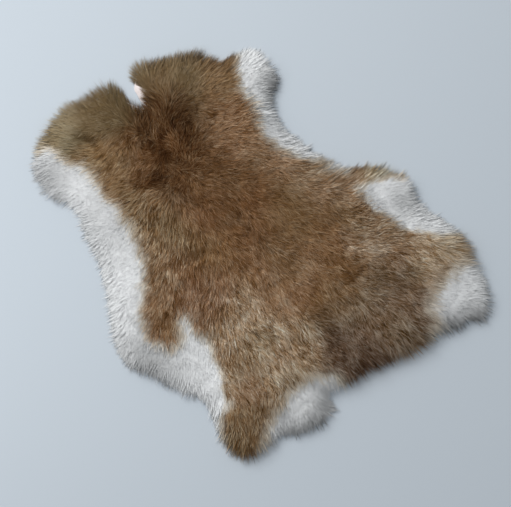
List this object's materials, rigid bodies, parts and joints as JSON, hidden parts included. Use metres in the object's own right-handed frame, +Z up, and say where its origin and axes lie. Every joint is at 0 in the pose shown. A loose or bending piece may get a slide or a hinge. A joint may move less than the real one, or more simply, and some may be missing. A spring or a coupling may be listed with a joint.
{
  "type": "rabbit skin pelt",
  "caption": "Tanned rabbit skin laid flat with its fur side up: a soft brown pile on a thin hide, white at the belly and leg edges, with loose locks of hair round the rim.",
  "frame": {"origin": "middle of the pelt's outer box, on the underside that lies on the floor", "axes": "+X along the spine from the neck to the tail, +Y to the skin's right side, +Z up out of the fur"},
  "size_m": [0.3815, 0.277, 0.0168],
  "materials": {
    "fur": "matt brown fur pile"
  },
  "bodies": {
    "root": {"pelt": "fur"}
  },
  "joints": []
}
